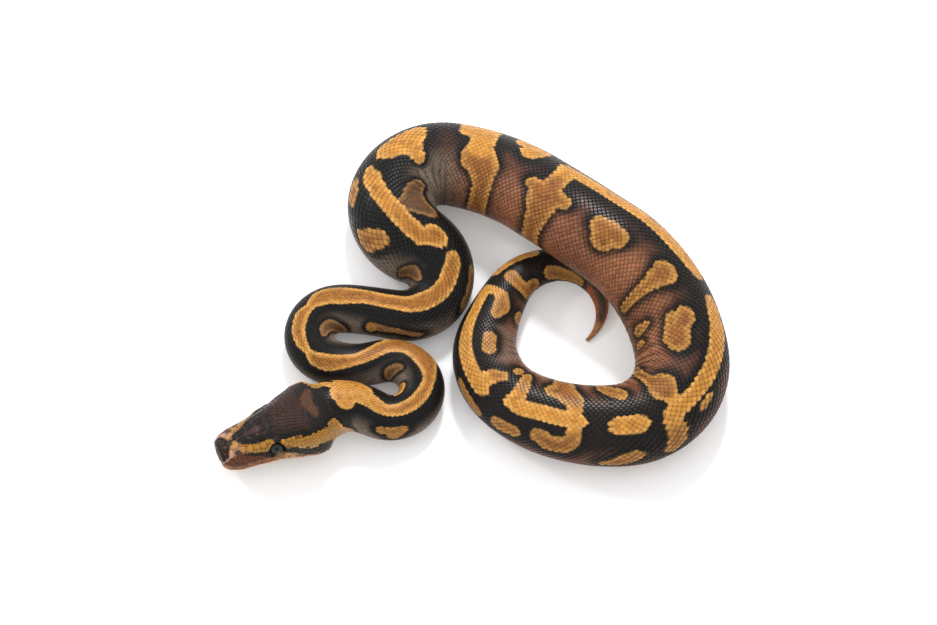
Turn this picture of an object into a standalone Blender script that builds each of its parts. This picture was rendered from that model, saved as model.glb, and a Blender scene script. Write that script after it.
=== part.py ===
"""A coiled ball python, life size, lying still on its belly with its head a little raised.

The midline is a chain of bends from the nape to the tail's tip. A loaf-shaped section
follows it and is cut into short lengths, and the head is lofted on its own straight axis.
Lengths are in millimetres until a mesh is made, heights are above the floor, and the
finished object stands in metres with its lowest flats at z = 0.
"""
import math

import bmesh
import bpy
import numpy as np
from mathutils import Matrix, Vector

MM = 0.001
CENTRE = (1.19, 1.77)          # middle of the object's box, moved to x = y = 0

# ---- midline: it leaves the nape at START and runs to the tail's tip
START = (-35.18, -31.3)
START_HEADING = 23.5            # degrees from +X
BENDS = (                       # length, turn to the left in degrees
    (11.4, -53.7), (32.5, 227.8), (12.4, -30.2), (23.1, -172.1), (14.9, -7.9),
    (15.9, 104.1), (11.9, 60.8), (15.4, -68.3), (21.4, -97.7), (25.0, -27.8),
    (25.5, 4.2), (14.5, -18.1), (19.5, -28.0), (27.8, -92.9), (18.0, -23.2),
    (10.8, -18.7), (21.1, -67.3), (15.1, -14.0), (13.2, -50.6), (30.6, -147.9),
)
BEND_BLEND = 2.0                # how softly one bend runs into the next
LENGTH = sum(bend[0] for bend in BENDS)

# ---- body section: half width and lift off the floor at distances behind the nape
HALF_WIDTH = (
    (0.0, 7.9), (5.0, 6.7), (10.0, 6.4), (18.0, 6.1), (28.0, 6.1), (40.0, 5.9), (52.0, 5.9),
    (62.0, 6.7), (92.0, 6.7),
    (100.0, 7.4), (108.0, 8.3), (116.0, 10.1), (125.0, 11.6), (135.0, 11.9), (148.0, 11.6),
    (200.0, 11.8), (225.0, 12.2), (250.0, 12.2), (269.0, 11.0), (290.0, 10.1), (301.0, 9.3),
    (311.0, 9.0), (319.0, 8.2), (329.0, 6.8), (337.0, 6.0), (350.0, 4.7), (361.0, 3.2),
    (371.0, 1.8), (380.0, 0.6),
)
LIFT = (
    (0.0, 2.0), (7.0, 2.0), (20.0, 0.0), (150.0, 0.0), (160.0, 0.6), (172.0, 2.2),
    (184.0, 4.5), (196.0, 6.5), (212.0, 6.5), (225.0, 3.6), (237.0, 1.2), (248.0, 0.0),
    (380.0, 0.0),
)
PROFILE_BLEND = 4.0             # smoothing length of the two tables
HEIGHT_RATIO = 0.84             # half height over half width
BELLY_CUT = 0.88                # the belly is flat this far below the section's middle
RING = 26                       # corners round the body
RING_STEP = 4.2                 # distance between body rings
SEAM = 0.36                     # open cut between two lengths of the body

# ---- lengths of the body: name and where each one ends
LENGTHS = (
    ("neck", 15.0), ("trunk_01", 26.0), ("trunk_02", 38.0), ("trunk_03", 54.0),
    ("trunk_04", 66.0), ("trunk_05", 79.0), ("trunk_06", 95.0), ("trunk_07", 105.5),
    ("trunk_08", 118.0), ("trunk_09", 133.0), ("trunk_10", 145.0), ("trunk_11", 158.0),
    ("trunk_12", 188.0), ("trunk_13", 218.0), ("trunk_14", 242.0), ("trunk_15", 257.0),
    ("trunk_16", 272.0), ("trunk_17", 298.0), ("trunk_18", 324.0), ("trunk_19", 345.0),
    ("tail_base", 362.0), ("tail_tip", LENGTH),
)

# ---- head: stations from the snout (0) back to the nape, heights above the floor
HEAD_LENGTH = 30.2
HEAD = (                        # distance, half width, crown, widest level, chin
    (0.0, 2.6, 8.6, 6.5, 4.9), (0.7, 3.7, 9.6, 6.1, 3.9), (2.0, 4.9, 10.3, 5.8, 3.3),
    (4.5, 5.9, 10.9, 5.6, 2.9), (8.5, 6.25, 11.4, 5.6, 2.5), (11.5, 6.8, 12.0, 5.6, 2.3),
    (15.0, 7.3, 12.5, 5.7, 2.0), (19.5, 9.3, 13.0, 6.0, 1.8), (23.5, 10.5, 13.4, 6.4, 1.8),
    (26.3, 10.1, 13.6, 6.9, 1.8), (28.6, 9.0, 13.6, 7.3, 1.8), (30.2, 7.9, 13.6, 7.4, 1.8),
)
HEAD_RING = 32
HEAD_ROLL = 17.0                # degrees, its left side up, easing off towards the nape
ROLL_FROM = 20.0                # how far back the easing starts
ROLL_HEIGHT = 7.0               # the head rolls about a line this high
CROWN_POWER = 2.5               # squareness of the section above and below its widest level
CHIN_POWER = 2.6
NAPE_POWER = 2.1
JAW_END = 23.0                  # how far back the mouth's corner lies
MOUTH_DROP = 0.7                # the mouth lies this far under the widest level
MOUTH_GAP = 0.36
EYE_RADIUS = 2.05
EYE_AT = (14.3, 5.5, 7.9)       # behind the snout, out from the middle, height
EYE_GAP = 0.33

COLOURS = {
    "head": (0.09, 0.045, 0.035), "lower_jaw": (0.62, 0.42, 0.24), "eye": (0.02, 0.025, 0.03),
    "neck": (0.50, 0.27, 0.08), "trunk": (0.10, 0.065, 0.05), "tail": (0.28, 0.16, 0.07),
}


def profile(table, at):
    """A table's value at each distance, with its corners rounded off."""
    table = np.array(table)
    offsets = np.linspace(-1.5, 1.5, 13)
    weights = np.exp(-offsets ** 2)
    weights /= weights.sum()
    at = np.asarray(at, float)
    values = [w * np.interp(at + o * PROFILE_BLEND, table[:, 0], table[:, 1])
              for o, w in zip(offsets, weights)]
    return np.sum(values, axis=0)


def midline():
    """Distances along the body with the midline's points and headings there."""
    count = int(LENGTH / 0.25) + 1
    along = np.linspace(0.0, LENGTH, count)
    step = along[1] - along[0]
    curvature = np.zeros(count)
    begin = 0.0
    for length, turn in BENDS:
        end = begin + length
        share = np.tanh((along - begin) / BEND_BLEND) - np.tanh((along - end) / BEND_BLEND)
        curvature += math.radians(turn) * share / (share.sum() * step)
        begin = end
    heading = math.radians(START_HEADING) + np.cumsum(
        np.append(0.0, (curvature[1:] + curvature[:-1]) * step / 2))
    middle = (heading[1:] + heading[:-1]) / 2
    x = START[0] + np.cumsum(np.append(0.0, np.cos(middle) * step))
    y = START[1] + np.cumsum(np.append(0.0, np.sin(middle) * step))
    return along, x, y, heading


ALONG, LINE_X, LINE_Y, LINE_HEADING = midline()


def body_ring(at, shift=0.0):
    """The corners of the body's section at one distance behind the nape.

    A shift moves the section straight along the body, so both faces of a cut are parallel.
    """
    heading = np.interp(at, ALONG, LINE_HEADING)
    x = np.interp(at, ALONG, LINE_X) + shift * math.cos(heading)
    y = np.interp(at, ALONG, LINE_Y) + shift * math.sin(heading)
    half = float(profile(HALF_WIDTH, at))
    high = HEIGHT_RATIO * half
    lift = max(float(profile(LIFT, at)), 0.0)
    lift = lift if lift > 0.05 else 0.0
    corners = []
    for k in range(RING):
        angle = 2 * math.pi * (k + 0.5) / RING
        side = half * math.sin(angle)
        up = max(high * math.cos(angle), -BELLY_CUT * high) + BELLY_CUT * high
        corners.append((x - side * math.sin(heading), y + side * math.cos(heading), lift + up))
    return corners


def head_point(back, side, up):
    """A point given behind the snout, to the head's left, and above the floor before its roll."""
    heading = math.radians(START_HEADING)
    ahead = back - HEAD_LENGTH - SEAM / 2
    share = min(max((back - ROLL_FROM) / (HEAD_LENGTH - ROLL_FROM), 0.0), 1.0)
    roll = math.radians(HEAD_ROLL) * (1 - share * share * (3 - 2 * share))
    over = up - ROLL_HEIGHT
    up = ROLL_HEIGHT + side * math.sin(roll) + over * math.cos(roll)
    side = side * math.cos(roll) - over * math.sin(roll)
    return (START[0] + ahead * math.cos(heading) + side * math.sin(heading),
            START[1] + ahead * math.sin(heading) - side * math.cos(heading), up)


def power(value, exponent):
    return math.copysign(abs(value) ** exponent, value)


def head_ring(back):
    """The corners of the head's section at one distance behind the snout."""
    table = np.array(HEAD)
    half, crown, lip, chin = (np.interp(back, table[:, 0], table[:, k]) for k in (1, 2, 3, 4))
    rear = min(max((back - 20.0) / (HEAD_LENGTH - 20.0), 0.0), 1.0)
    above = CROWN_POWER + (NAPE_POWER - CROWN_POWER) * rear
    below = CHIN_POWER + (NAPE_POWER - CHIN_POWER) * rear
    corners = []
    for k in range(HEAD_RING):
        angle = 2 * math.pi * (k + 0.5) / HEAD_RING
        squareness = above if math.cos(angle) > 0 else below
        side = half * power(math.sin(angle), 2 / squareness)
        rise = power(math.cos(angle), 2 / squareness)
        up = lip + rise * ((crown - lip) if rise > 0 else (lip - chin))
        corners.append(head_point(back, -side, up))
    return corners


def loft(name, rings):
    """A closed solid through a row of rings with flat ends."""
    mesh = bpy.data.meshes.new(name)
    shape = bmesh.new()
    rows = [[shape.verts.new(((x - CENTRE[0]) * MM, (y - CENTRE[1]) * MM, z * MM))
             for x, y, z in ring] for ring in rings]
    size = len(rings[0])
    for row, following in zip(rows, rows[1:]):
        for k in range(size):
            shape.faces.new((row[k], row[(k + 1) % size],
                             following[(k + 1) % size], following[k]))
    shape.faces.new(rows[0])
    shape.faces.new(rows[-1])
    bmesh.ops.recalc_face_normals(shape, faces=shape.faces)
    bmesh.ops.triangulate(shape, faces=[f for f in shape.faces if len(f.verts) > 4])
    shape.to_mesh(mesh)
    shape.free()
    solid = bpy.data.objects.new(name, mesh)
    bpy.context.collection.objects.link(solid)
    return solid


def paint(solid, colour, roughness=0.35):
    material = bpy.data.materials.new(solid.name)
    material.use_nodes = True
    shader = material.node_tree.nodes["Principled BSDF"]
    shader.inputs["Base Color"].default_value = (*colour, 1.0)
    shader.inputs["Roughness"].default_value = roughness
    solid.data.materials.clear()
    solid.data.materials.append(material)
    for face in solid.data.polygons:
        face.use_smooth = True
        face.material_index = 0


def combine(solid, tool, operation):
    """Cut a solid with a tool, or keep only what the two share."""
    bpy.context.view_layer.objects.active = solid
    change = solid.modifiers.new("change", "BOOLEAN")
    change.operation = operation
    change.solver = "EXACT"
    change.object = tool
    bpy.ops.object.modifier_apply(modifier="change")


def jaw_block(name, grow):
    """Everything under the mouth line, back to the mouth's corner."""
    table = np.array(HEAD)
    stations = np.linspace(-1.0, JAW_END + grow, 24)
    rings = []
    for back in stations:
        widest = float(np.interp(back, table[:, 0], table[:, 3]))
        mouth = widest - MOUTH_DROP - MOUTH_GAP / 2 + grow
        corners = ((14.0, -2.0), (14.0, mouth), (-14.0, mouth), (-14.0, -2.0))
        rings.append([head_point(back, side, up) for side, up in corners])
    return loft(name, rings)


def ball(name, centre, radius, segments, rings):
    shape = bmesh.new()
    x, y, z = centre
    place = Matrix.Translation(Vector(((x - CENTRE[0]) * MM, (y - CENTRE[1]) * MM, z * MM)))
    bmesh.ops.create_uvsphere(shape, u_segments=segments, v_segments=rings,
                              radius=radius * MM, matrix=place)
    mesh = bpy.data.meshes.new(name)
    shape.to_mesh(mesh)
    shape.free()
    solid = bpy.data.objects.new(name, mesh)
    bpy.context.collection.objects.link(solid)
    return solid


def remove(solid):
    bpy.data.objects.remove(solid, do_unlink=True)


def make_body():
    begin = 0.0
    for name, end in LENGTHS:
        pieces = max(2, int(round((end - begin) / RING_STEP)))
        stations = np.linspace(begin, end, pieces + 1)
        shifts = [SEAM / 2] + [0.0] * (pieces - 1) + [-SEAM / 2]
        solid = loft(name, [body_ring(at, shift) for at, shift in zip(stations, shifts)])
        paint(solid, COLOURS[name.split("_")[0]])
        begin = end


def make_head():
    stations = sorted({row[0] for row in HEAD} | {6.5, 17.2, 21.5, 25.0, 27.5})
    head = loft("head", [head_ring(back) for back in stations])
    jaw = loft("lower_jaw", [head_ring(back) for back in stations])
    block = jaw_block("block", 0.0)
    combine(jaw, block, "INTERSECT")
    remove(block)
    block = jaw_block("block", MOUTH_GAP)
    combine(head, block, "DIFFERENCE")
    remove(block)
    for name, side in (("eye_left", 1), ("eye_right", -1)):
        centre = head_point(EYE_AT[0], side * EYE_AT[1], EYE_AT[2])
        socket = ball("socket", centre, EYE_RADIUS + EYE_GAP, 20, 12)
        combine(head, socket, "DIFFERENCE")
        remove(socket)
        eye = ball(name, centre, EYE_RADIUS, 24, 14)
        paint(eye, COLOURS["eye"], 0.08)
    paint(head, COLOURS["head"])
    paint(jaw, COLOURS["lower_jaw"])


def clear():
    for item in list(bpy.data.objects):
        bpy.data.objects.remove(item, do_unlink=True)


clear()
make_body()
make_head()
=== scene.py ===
"""Looks of the coiled ball python: one skin under solid scales, in soft studio light.

Distances are in millimetres until a mesh is made. A place on the body is `along`, the
distance behind the nape, and `way`, the distance round the section from its highest line,
positive to the left of somebody walking towards the tail. A place on the head is `back`,
the distance behind the snout, and `way`, positive towards the head's own left side.
"""
import math

import bpy
import numpy as np
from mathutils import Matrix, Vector
from mathutils.bvhtree import BVHTree


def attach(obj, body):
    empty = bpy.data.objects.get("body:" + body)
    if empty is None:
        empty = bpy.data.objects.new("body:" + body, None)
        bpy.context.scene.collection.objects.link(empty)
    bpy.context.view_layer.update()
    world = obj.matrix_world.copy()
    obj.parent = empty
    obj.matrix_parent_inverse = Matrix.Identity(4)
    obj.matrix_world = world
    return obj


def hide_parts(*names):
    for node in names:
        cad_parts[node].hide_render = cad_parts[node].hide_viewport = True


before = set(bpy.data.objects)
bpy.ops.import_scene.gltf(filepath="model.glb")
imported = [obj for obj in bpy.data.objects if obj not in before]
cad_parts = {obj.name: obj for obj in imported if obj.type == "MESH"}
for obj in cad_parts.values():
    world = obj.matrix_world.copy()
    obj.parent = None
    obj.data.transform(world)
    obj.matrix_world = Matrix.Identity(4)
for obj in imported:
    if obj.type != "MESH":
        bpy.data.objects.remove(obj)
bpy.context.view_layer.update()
MM = 0.001

# ---- the shape of the solids, as the frame has it ----------------------------------
CENTRE = (1.19, 1.77)           # moved to x = y = 0 as the pieces are made
START = (-35.18, -31.3)         # the nape, and which way the body leaves it
START_HEADING = math.radians(23.5)
BENDS = (                       # length, turn to the left in degrees
    (11.4, -53.7), (32.5, 227.8), (12.4, -30.2), (23.1, -172.1), (14.9, -7.9),
    (15.9, 104.1), (11.9, 60.8), (15.4, -68.3), (21.4, -97.7), (25.0, -27.8),
    (25.5, 4.2), (14.5, -18.1), (19.5, -28.0), (27.8, -92.9), (18.0, -23.2),
    (10.8, -18.7), (21.1, -67.3), (15.1, -14.0), (13.2, -50.6), (30.6, -147.9),
)
BEND_BLEND = 2.0                # how softly one bend runs into the next
LENGTH = sum(bend[0] for bend in BENDS)
HALF_WIDTH = (                  # behind the nape, half the body's width
    (0.0, 7.9), (5.0, 6.7), (10.0, 6.4), (18.0, 6.1), (28.0, 6.1), (40.0, 5.9), (52.0, 5.9),
    (62.0, 6.7), (92.0, 6.7),
    (100.0, 7.4), (108.0, 8.3), (116.0, 10.1), (125.0, 11.6), (135.0, 11.9), (148.0, 11.6),
    (200.0, 11.8), (225.0, 12.2), (250.0, 12.2), (269.0, 11.0), (290.0, 10.1), (301.0, 9.3),
    (311.0, 9.0), (319.0, 8.2), (329.0, 6.8), (337.0, 6.0), (350.0, 4.7), (361.0, 3.2),
    (371.0, 1.8), (380.0, 0.6),
)
LIFT = (                        # behind the nape, height of the belly over the floor
    (0.0, 2.0), (7.0, 2.0), (20.0, 0.0), (150.0, 0.0), (160.0, 0.6), (172.0, 2.2),
    (184.0, 4.5), (196.0, 6.5), (212.0, 6.5), (225.0, 3.6), (237.0, 1.2), (248.0, 0.0),
    (380.0, 0.0),
)
PROFILE_BLEND = 4.0             # smoothing length of these two tables
HEIGHT_RATIO = 0.84             # half height over half width
BELLY_CUT = 0.88                # the belly is flat this far below the section's middle
HEAD_LENGTH = 30.38             # snout to nape, the cut behind the head included
HEAD = (                        # distance, half width, crown, widest level, chin
    (0.0, 2.6, 8.6, 6.5, 4.9), (0.7, 3.7, 9.6, 6.1, 3.9), (2.0, 4.9, 10.3, 5.8, 3.3),
    (4.5, 5.9, 10.9, 5.6, 2.9), (8.5, 6.25, 11.4, 5.6, 2.5), (11.5, 6.8, 12.0, 5.6, 2.3),
    (15.0, 7.3, 12.5, 5.7, 2.0), (19.5, 9.3, 13.0, 6.0, 1.8), (23.5, 10.5, 13.4, 6.4, 1.8),
    (26.3, 10.1, 13.6, 6.9, 1.8), (28.6, 9.0, 13.6, 7.3, 1.8), (30.2, 7.9, 13.6, 7.4, 1.8),
)
HEAD_ROLL = math.radians(17.0)  # the head's left side up, easing off towards the nape
ROLL_FROM = 20.0                # how far back the easing starts
ROLL_HEIGHT = 7.0               # the head rolls about a line this high
CROWN_POWER = 2.5               # squareness of the section above its widest level
CHIN_POWER = 2.6                # and below it
NAPE_POWER = 2.1                # and at the nape
JAW_END = 23.0                  # how far back the mouth's corner lies
MOUTH_DROP = 0.7                # the mouth lies this far under the widest level
EYE_AT = (14.3, 5.5, 7.9)       # behind the snout, out from the middle, height
EYE_SIZE = (1.75, 1.75, 2.1)    # its half size outward, upward and forward
RIDGES = (                      # height, then middle and reach behind the snout and round
    (-0.30, 11.0, 2.2, 4.9, 0.9),       # hollow before the eye
    (-0.32, 7.2, 1.0, 3.2, 1.3),        # notch behind the nose
    (0.14, 3.2, 1.6, 2.7, 1.4),         # side of the nose
    (-0.22, 19.0, 5.0, 0.0, 0.7),       # crease along the crown
    (-0.25, 17.8, 1.8, 6.3, 1.2),       # temple
)

# ---- the coat ----------------------------------------------------------------------
SKIN_DEPTH = 0.33               # the skin lies this far inside the solids
HEAD_DEPTH = 0.15               # and this far on the head, whose scales are thinner
FOLD_DEPTH = 0.16               # depth of a crease on the inside of a bend
SKIN_RING = 144                 # corners round the skin
SKIN_STEP = 1.0                 # distance between the body's skin rings
HEAD_STEP = 0.22                # and between the head's
NOSE_RINGS = (0.16, 0.175, 0.21, 0.27, 0.36, 0.52)      # rings that round off the snout
NOSE_ROUND = 0.95               # the snout is rounded this far back
NAPE_JOIN = 4.0                 # the head's skin turns into the neck's over this length
SKIN_STRIPS = 6                 # the unrolled skin is cut into this many strips
SCALE_RISE = 0.09               # how far a scale stands up over the skin
SCALE_TILT = 0.05               # how much further its rear edge stands out
SCALE_CORNERS = 10
SCALE_TOP = 1.12                # height of its middle, as a share of the rise
SCALE_RINGS = ((0.62, 1.0), (0.95, 0.78), (1.0, -0.5))  # reach, height as such a share
SCALE_SHARP = 1.45              # 1 is a rhombus, 2 an ellipse
SCALE_PITCH = (                 # distance along, distance between the rows there
    (0.0, 0.95), (60.0, 1.15), (120.0, 1.4), (250.0, 1.42), (345.0, 1.25), (380.0, 1.1),
)
BACK_SHARE = 0.385              # share of the girth that small scales cover on each side
SCUTE_ACROSS = 18               # corners across a belly scute
SCUTE_HEIGHTS = (0.15, 0.75, 1.0, 0.9)                  # from its front edge to its rear edge
ROLL_SHARE = 0.4                # the body rolls this much as far as its markings shift
BACK_LINE = (                   # where the darkest line along the back lies
    (0, 1.5), (12, 0.8), (30, -2.5), (38, -4), (48, -0.5), (58, 2), (70, 3), (85, 1), (100, 0),
    (112, -3), (120, -1), (130, 1), (140, 6), (150, 8.5), (165, 9), (178, 8.5), (190, 7.8),
    (205, 8.5), (222, 10.5), (236, 11), (250, 8), (262, 6), (275, 4.5), (290, 4.5), (305, 5.5),
    (325, 5), (345, 4), (360, 2), (380, 0),
)
COAT_PIECES = (                 # name, where it ends, columns of scales, slot
    ("neck_scales", 15.0, 63, "neck_skin"), ("trunk_scales_1", 62.0, 63, "trunk_skin"),
    ("trunk_scales_2", 130.0, 63, "trunk_skin"), ("trunk_scales_3", 202.0, 63, "trunk_skin"),
    ("trunk_scales_4", 274.0, 63, "trunk_skin"), ("trunk_scales_5", 345.0, 61, "trunk_skin"),
    ("tail_scales_1", 362.0, 35, "tail_skin"), ("tail_scales_2", 372.0, 21, "tail_skin"),
    ("tail_scales_3", 379.6, 11, "tail_skin"),
)
PATCH = 0.003                   # about the width of one scale's patch on the unwrap
EDGE = 0.15                     # half the width over which one marking turns into the next


def screen(*colour):
    """A colour as it looks on a screen, 0 to 255, as linear light."""
    value = np.asarray(colour, float) / 255
    return np.where(value <= 0.04045, value / 12.92, ((value + 0.055) / 1.055) ** 2.4)


# ---- colours of the body
GOLD = screen(206, 143, 62)
GOLD_RIM = screen(219, 160, 82)
FRONT_GOLD = screen(168, 109, 47)
TAN = screen(153, 97, 47)
TAN_RIM = screen(189, 135, 68)
BROWN = screen(104, 74, 48)
BROWN_RIM = screen(146, 106, 64)
BLACK = screen(17, 16, 15)
REAR_BLACK = screen(30, 24, 21)
MAROON = screen(114, 73, 55)
BRIGHT_MAROON = screen(166, 107, 74)
TAIL_GREY_AND_LIGHT = screen(92, 74, 60)
TAIL_RUST = screen(168, 92, 52)
TAIL_END = screen(186, 130, 84)
FLANK_GREY_AND_SHEEN = screen(134, 117, 102)
PALE_REAR = screen(138, 111, 94)
THROAT = screen(190, 158, 124)
BELLY = screen(205, 190, 165)
BELLY_EDGE = screen(151, 143, 130)

# ---- colours of the head
LIP_FRONT = screen(104, 57, 33)
LIP_REAR = screen(186, 140, 88)
LIP_RIM_FRONT = screen(172, 116, 82)
LIP_RIM_REAR = screen(190, 150, 106)
DARK_FRONT = screen(36, 26, 20)
DARK_CHEEK = screen(48, 44, 38)
DARK_REAR = screen(84, 80, 72)
HEAD_GOLD = screen(178, 126, 52)
PALE_GOLD = screen(186, 144, 90)
DEEP_GOLD = screen(160, 104, 44)
NOSE = screen(196, 150, 124)
NOSE_MIDDLE = screen(196, 144, 88)
NOSTRIL_SHADE = screen(30, 17, 14)
TIP_DARK = screen(40, 25, 18)
CROWN = screen(34, 29, 26)
CROWN_MIDDLE = screen(66, 43, 34)
CROWN_RED = screen(84, 50, 46)
CROWN_EDGE = screen(22, 21, 20)
CROWN_BROWN = screen(100, 66, 44)
CROWN_SEAM = screen(92, 72, 64)
JAW_RIM = screen(188, 138, 106)
JAW = screen(200, 178, 150)
IRIS = screen(48, 54, 53)
IRIS_RAY = screen(28, 32, 32)
IRIS_EDGE = screen(14, 14, 14)
PUPIL = screen(6, 6, 7)


def smooth(low, high, value):
    """A share that rises softly from 0 where the value is low to 1 where it is high."""
    share = np.clip((np.asarray(value, float) - low) / (high - low), 0, 1)
    return share * share * (3 - 2 * share)


def mix(first, second, share):
    """Blend two linear colours, or arrays of them, by a share for each point."""
    share = np.asarray(share, float)[..., None]
    return first * (1 - share) + second * share


def scatter(*keys):
    """An even spread of numbers from 0 to 1 that depends only on the keys."""
    total = sum(np.asarray(key, float) * factor
                for key, factor in zip(keys, (12.9898, 78.233, 37.719)))
    return np.mod(np.sin(total) * 43758.5453, 1.0)


def look_up(table, at, column=1):
    """A column's value at each distance; the first column holds the distances."""
    table = np.array(table, float)
    return np.interp(at, table[:, 0], table[:, column])


def profile(table, at):
    """A table's value at each distance, with its corners rounded off."""
    offsets = np.linspace(-1.5, 1.5, 13)
    weights = np.exp(-offsets ** 2)
    weights /= weights.sum()
    at = np.asarray(at, float)
    values = [w * look_up(table, at + o * PROFILE_BLEND) for o, w in zip(offsets, weights)]
    return np.sum(values, axis=0)


# ---- the body's surface ------------------------------------------------------------

def midline():
    """Distances along the body with the midline's points, headings and curvature there."""
    count = int(LENGTH / 0.25) + 1
    along = np.linspace(0.0, LENGTH, count)
    step = along[1] - along[0]
    curvature = np.zeros(count)
    begin = 0.0
    for length, turn in BENDS:
        end = begin + length
        share = np.tanh((along - begin) / BEND_BLEND) - np.tanh((along - end) / BEND_BLEND)
        curvature += math.radians(turn) * share / (share.sum() * step)
        begin = end
    heading = START_HEADING + np.cumsum(
        np.append(0.0, (curvature[1:] + curvature[:-1]) * step / 2))
    middle = (heading[1:] + heading[:-1]) / 2
    x = START[0] + np.cumsum(np.append(0.0, np.cos(middle) * step))
    y = START[1] + np.cumsum(np.append(0.0, np.sin(middle) * step))
    return along, x, y, heading, curvature


ALONG, LINE_X, LINE_Y, LINE_HEADING, LINE_CURVE = midline()


def unit_section():
    """The body's section for a half width of 1: way round, side, height, outward direction."""
    corners, window = 1441, 61
    angle = np.linspace(-math.pi, math.pi, corners)
    side = np.sin(angle)
    up = HEIGHT_RATIO * np.maximum(np.cos(angle), -BELLY_CUT)
    way = np.append(0.0, np.cumsum(np.hypot(np.diff(side), np.diff(up))))
    way -= way[len(way) // 2]
    even = np.linspace(way[0], way[-1], corners)
    side = np.interp(even, way, side)
    up = np.interp(even, way, up)

    def soften(values):
        reach = window // 2
        closed = np.concatenate((values[-reach - 1:-1], values, values[1:reach + 1]))
        return np.convolve(closed, np.ones(window) / window, "valid")

    out_side, out_up = soften(-np.gradient(up)), soften(np.gradient(side))
    size = np.hypot(out_side, out_up)
    return even, side, up, out_side / size, out_up / size


WAY, UNIT_SIDE, UNIT_UP, OUT_SIDE, OUT_UP = unit_section()
GIRTH = WAY[-1] - WAY[0]        # girth of a body whose half width is 1


def body_point(along, way, rise):
    """Points on the body, raised over the solids' surface (or sunk, if rise is negative)."""
    half = profile(HALF_WIDTH, along)
    lift = np.maximum(profile(LIFT, along), 0.0)
    heading = np.interp(along, ALONG, LINE_HEADING)
    unit = np.mod(way / half + GIRTH / 2, GIRTH) - GIRTH / 2
    side = half * np.interp(unit, WAY, UNIT_SIDE) + rise * np.interp(unit, WAY, OUT_SIDE)
    up = half * (np.interp(unit, WAY, UNIT_UP) + BELLY_CUT * HEIGHT_RATIO) + lift
    up = up + rise * np.interp(unit, WAY, OUT_UP)
    x = np.interp(along, ALONG, LINE_X) - side * np.sin(heading)
    y = np.interp(along, ALONG, LINE_Y) + side * np.cos(heading)
    return np.stack((x, y, up), axis=-1)


def stretch(along, way):
    """How much longer the skin is here than on the midline, from the bend of the body."""
    half = profile(HALF_WIDTH, along)
    side = half * np.interp(way / half, WAY, UNIT_SIDE)
    return np.maximum(1 - np.interp(along, ALONG, LINE_CURVE) * side, 0.12)


def folds(along, way):
    """How deep the skin creases on the inside of a tight bend, from 0 to 1."""
    tight = smooth(0.85, 0.45, stretch(along, way)) * smooth(125, 145, along)
    wave = np.sin(along * 1.7 + 1.1 * np.sin(way * 0.6) + 0.8 * np.sin(along * 0.6))
    return tight * (0.5 + 0.5 * wave) ** 2


def girth(along):
    return profile(HALF_WIDTH, along) * GIRTH


def back_middle(along):
    """How far round from the highest line the middle of the back lies, as the body rolls."""
    return ROLL_SHARE * look_up(BACK_LINE, along)


# ---- the head's surface ------------------------------------------------------------

def head_point(back, side, up):
    """Points given behind the snout, to the head's left, and above the floor before its roll."""
    ahead = back - HEAD_LENGTH
    roll = HEAD_ROLL * (1 - smooth(ROLL_FROM, HEAD_LENGTH, back))
    over = up - ROLL_HEIGHT
    up = ROLL_HEIGHT + side * np.sin(roll) + over * np.cos(roll)
    side = side * np.cos(roll) - over * np.sin(roll)
    x = START[0] + ahead * math.cos(START_HEADING) + side * math.sin(START_HEADING)
    y = START[1] + ahead * math.sin(START_HEADING) - side * math.cos(START_HEADING)
    return np.stack((x, y, up), axis=-1)


def head_section(back, count):
    """Way round, side and height of a head section, from the chin to the left and round."""
    half, crown, lip, chin = (look_up(HEAD, back, column) for column in (1, 2, 3, 4))
    rear = min(max((back - ROLL_FROM) / (HEAD_LENGTH - ROLL_FROM), 0.0), 1.0)
    above = CROWN_POWER + (NAPE_POWER - CROWN_POWER) * rear
    below = CHIN_POWER + (NAPE_POWER - CHIN_POWER) * rear
    angle = np.linspace(-math.pi, math.pi, 721)
    squareness = np.where(np.cos(angle) > 0, above, below)
    side = half * np.sign(np.sin(angle)) * np.abs(np.sin(angle)) ** (2 / squareness)
    rise = np.sign(np.cos(angle)) * np.abs(np.cos(angle)) ** (2 / squareness)
    up = lip + rise * np.where(rise > 0, crown - lip, lip - chin)
    way = np.append(0.0, np.cumsum(np.hypot(np.diff(side), np.diff(up))))
    way -= way[len(way) // 2]
    even = np.linspace(way[0], way[-1], count + 1)[:-1]
    return even, np.interp(even, way, side), np.interp(even, way, up)


def lip_table():
    """How far round from the crown the mouth lies, at each millimetre behind the snout."""
    table = []
    for back in np.arange(31.0):
        way, side, up = head_section(back, 240)
        mouth = look_up(HEAD, back, 3) - MOUTH_DROP
        table.append((back, way[(way > 0) & (up >= mouth)].max()))
    return table


LIP_WAY = lip_table()


def lip_way(back):
    return look_up(LIP_WAY, back)


def head_relief(back, way, side, up):
    """How far the skin stands out from the plain head, in folds, ridges and hollows."""
    away = np.abs(way)
    mouth = np.exp(-((away - lip_way(back)) / 0.3) ** 2) * smooth(JAW_END + 2, JAW_END - 1, back)
    # distance from the eye's axis, far away for what lies near the middle of the head
    around = np.hypot(back - EYE_AT[0], up - EYE_AT[2]) + 20 * (np.abs(side) < 3)
    brow = np.exp(-((around - 2.45) / 0.55) ** 2) * smooth(0.2, 1.5, up - EYE_AT[2])
    relief = 0.40 * brow - 0.42 * mouth - 1.3 * smooth(2.25, 1.75, around)
    for height, at_back, length, at_way, width in RIDGES:
        relief = relief + height * np.exp(-((back - at_back) / length) ** 2
                                          - ((away - at_way) / width) ** 2)
    return relief


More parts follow.
